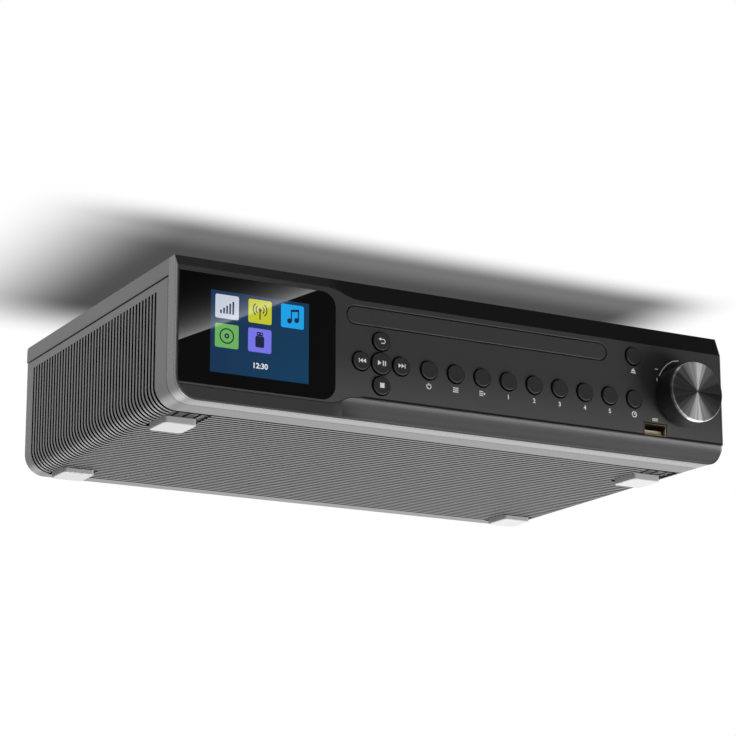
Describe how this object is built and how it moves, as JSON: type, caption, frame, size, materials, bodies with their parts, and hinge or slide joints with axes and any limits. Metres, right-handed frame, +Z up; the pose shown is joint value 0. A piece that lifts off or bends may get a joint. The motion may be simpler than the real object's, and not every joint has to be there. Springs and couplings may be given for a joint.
{
  "type": "under-cabinet disc radio",
  "caption": "Flat under-cabinet disc radio with a ribbed wrap-round casing, a colour display, round keys, a volume knob and a front-loading disc tray.",
  "frame": {"origin": "centre of the four mounting inserts, on the flat top that goes against the cabinet", "axes": "+X right as seen from the front, +Y from the front to the back, +Z up towards the cabinet"},
  "size_m": [0.2976, 0.2022, 0.0682],
  "materials": {
    "casing_grey": "moulded with fine ribs, silver grey",
    "cover_grey": "moulded, dark grey",
    "bezel_grey": "smooth satin, silver grey",
    "panel_dark": "satin, dark grey",
    "window_black": "polished black",
    "screen": "lit colour screen",
    "button_black": "satin, near black",
    "knob_black": "satin black",
    "knob_metal": "spun face with a diamond-cut edge",
    "socket_brass": "plated spring metal",
    "socket_tongue": "pale moulding",
    "tray_black": "moulded black",
    "inner_black": "moulded black",
    "circuit_green": "coated circuit board",
    "steel": "plated steel",
    "sink_aluminium": "extruded",
    "gear_white": "moulded acetal",
    "belt_rubber": "round belt",
    "speaker_steel": "pressed, black",
    "cone_black": "pressed paper",
    "foot_rubber": "pale soft rubber",
    "jack_black": "moulded black",
    "insert_brass": "threaded insert"
  },
  "bodies": {
    "casing": {"lower_shell": "casing_grey", "top_cover": "cover_grey", "front_bezel": "bezel_grey", "control_panel": "panel_dark", "display_window": "window_black", "lcd_glass": "screen", "lcd_frame": "inner_black", "button_switches": "inner_black", "button_board": "circuit_green", "encoder_body": "steel", "usb_shell": "socket_brass", "usb_tongue": "socket_tongue", "usb_board": "circuit_green", "loading_belt": "belt_rubber", "loading_motor": "steel", "loader_frame": "inner_black", "clamp_bridge": "steel", "speaker_basket_left": "speaker_steel", "speaker_basket_right": "speaker_steel", "speaker_cone_left": "cone_black", "speaker_cone_right": "cone_black", "feet": "foot_rubber", "main_board": "circuit_green", "tuner_module": "steel", "heat_sink": "sink_aluminium", "dc_jack": "jack_black", "audio_jack": "jack_black", "mounting_inserts": "insert_brass", "casing_screws": "steel"},
    "tray": {"disc_tray": "tray_black", "tray_front": "panel_dark"},
    "pinion": {"loading_pinion": "gear_white"},
    "motor_wheel": {"motor_pulley": "gear_white"},
    "clamp": {"clamp_disc": "inner_black"},
    "traverse": {"traverse_plate": "steel", "spindle_motor": "steel", "guide_rods": "steel", "sled_motor": "steel"},
    "turntable": {"spindle_hub": "inner_black"},
    "pickup": {"laser_sled": "inner_black"},
    "screw": {"lead_screw": "steel"},
    "volume_turn": {"encoder_rotor": "inner_black"},
    "volume_knob": {"knob_skirt": "knob_black", "knob_cap": "knob_metal", "encoder_shaft": "steel"},
    "button_play_pause": {"button_play_pause": "button_black"},
    "button_return": {"button_return": "button_black"},
    "button_stop": {"button_stop": "button_black"},
    "button_previous": {"button_previous": "button_black"},
    "button_next": {"button_next": "button_black"},
    "button_mode": {"button_mode": "button_black"},
    "button_menu": {"button_menu": "button_black"},
    "button_program": {"button_program": "button_black"},
    "button_preset_1": {"button_preset_1": "button_black"},
    "button_preset_2": {"button_preset_2": "button_black"},
    "button_preset_3": {"button_preset_3": "button_black"},
    "button_preset_4": {"button_preset_4": "button_black"},
    "button_preset_5": {"button_preset_5": "button_black"},
    "button_timer": {"button_timer": "button_black"},
    "button_eject": {"button_eject": "button_black"}
  },
  "joints": [
    {"name": "tray_slide", "type": "slide", "parent": "casing", "child": "tray", "axis": [0, -1, 0], "range_m": [0, 0.12775]},
    {"name": "pinion_spin", "type": "hinge", "parent": "casing", "child": "pinion", "pos_m": [-0.0658, -0.072, -0.019], "axis": [0, 0, 1], "range_deg": [-915.9, 0]},
    {"name": "motor_wheel_spin", "type": "hinge", "parent": "casing", "child": "motor_wheel", "pos_m": [-0.0658, -0.036, -0.023], "axis": [0, 0, 1], "range_deg": [-2517.1, 0]},
    {"name": "clamp_spin", "type": "hinge", "parent": "casing", "child": "clamp", "pos_m": [0.0082, -0.028, -0.01], "axis": [0, 0, 1], "continuous": true},
    {"name": "traverse_lift", "type": "hinge", "parent": "casing", "child": "traverse", "pos_m": [0.0082, 0.052, -0.0257], "axis": [-1, 0, 0], "range_deg": [0, 6]},
    {"name": "spindle_spin", "type": "hinge", "parent": "traverse", "child": "turntable", "pos_m": [0.0082, -0.02812, -0.02879], "axis": [0, -0.1045, 0.9945], "continuous": true},
    {"name": "pickup_slide", "type": "slide", "parent": "traverse", "child": "pickup", "axis": [0, 0.9945, 0.1045], "range_m": [0, 0.03]},
    {"name": "screw_spin", "type": "hinge", "parent": "traverse", "child": "screw", "pos_m": [-0.0063, 0.00231, -0.03122], "axis": [0, 0.9945, 0.1045], "range_deg": [0, 7205]},
    {"name": "volume_turn", "type": "hinge", "parent": "casing", "child": "volume_turn", "pos_m": [0.1227, -0.098, -0.0342], "axis": [0, -1, 0], "continuous": true},
    {"name": "volume_push", "type": "slide", "parent": "volume_turn", "child": "volume_knob", "axis": [0, 1, 0], "range_m": [0, 0.0006], "stiffness_N_per_m": 2500, "springref_m": -0.001},
    {"name": "play_pause_press", "type": "slide", "parent": "casing", "child": "button_play_pause", "axis": [0, 1, 0], "range_m": [0, 0.0008], "stiffness_N_per_m": 500, "springref_m": -0.001},
    {"name": "return_press", "type": "slide", "parent": "casing", "child": "button_return", "axis": [0, 1, 0], "range_m": [0, 0.0008], "stiffness_N_per_m": 500, "springref_m": -0.001},
    {"name": "stop_press", "type": "slide", "parent": "casing", "child": "button_stop", "axis": [0, 1, 0], "range_m": [0, 0.0008], "stiffness_N_per_m": 500, "springref_m": -0.001},
    {"name": "previous_press", "type": "slide", "parent": "casing", "child": "button_previous", "axis": [0, 1, 0], "range_m": [0, 0.0008], "stiffness_N_per_m": 500, "springref_m": -0.001},
    {"name": "next_press", "type": "slide", "parent": "casing", "child": "button_next", "axis": [0, 1, 0], "range_m": [0, 0.0008], "stiffness_N_per_m": 500, "springref_m": -0.001},
    {"name": "mode_press", "type": "slide", "parent": "casing", "child": "button_mode", "axis": [0, 1, 0], "range_m": [0, 0.0008], "stiffness_N_per_m": 500, "springref_m": -0.001},
    {"name": "menu_press", "type": "slide", "parent": "casing", "child": "button_menu", "axis": [0, 1, 0], "range_m": [0, 0.0008], "stiffness_N_per_m": 500, "springref_m": -0.001},
    {"name": "program_press", "type": "slide", "parent": "casing", "child": "button_program", "axis": [0, 1, 0], "range_m": [0, 0.0008], "stiffness_N_per_m": 500, "springref_m": -0.001},
    {"name": "preset_1_press", "type": "slide", "parent": "casing", "child": "button_preset_1", "axis": [0, 1, 0], "range_m": [0, 0.0008], "stiffness_N_per_m": 500, "springref_m": -0.001},
    {"name": "preset_2_press", "type": "slide", "parent": "casing", "child": "button_preset_2", "axis": [0, 1, 0], "range_m": [0, 0.0008], "stiffness_N_per_m": 500, "springref_m": -0.001},
    {"name": "preset_3_press", "type": "slide", "parent": "casing", "child": "button_preset_3", "axis": [0, 1, 0], "range_m": [0, 0.0008], "stiffness_N_per_m": 500, "springref_m": -0.001},
    {"name": "preset_4_press", "type": "slide", "parent": "casing", "child": "button_preset_4", "axis": [0, 1, 0], "range_m": [0, 0.0008], "stiffness_N_per_m": 500, "springref_m": -0.001},
    {"name": "preset_5_press", "type": "slide", "parent": "casing", "child": "button_preset_5", "axis": [0, 1, 0], "range_m": [0, 0.0008], "stiffness_N_per_m": 500, "springref_m": -0.001},
    {"name": "timer_press", "type": "slide", "parent": "casing", "child": "button_timer", "axis": [0, 1, 0], "range_m": [0, 0.0008], "stiffness_N_per_m": 500, "springref_m": -0.001},
    {"name": "eject_press", "type": "slide", "parent": "casing", "child": "button_eject", "axis": [0, 1, 0], "range_m": [0, 0.0008], "stiffness_N_per_m": 500, "springref_m": -0.001}
  ],
  "couplings": [
    {"joint": "pinion_spin", "follows": "tray_slide", "rad_per_m": -125},
    {"joint": "motor_wheel_spin", "follows": "tray_slide", "rad_per_m": -343.75},
    {"joint": "screw_spin", "follows": "pickup_slide", "rad_per_m": 4188.8}
  ]
}
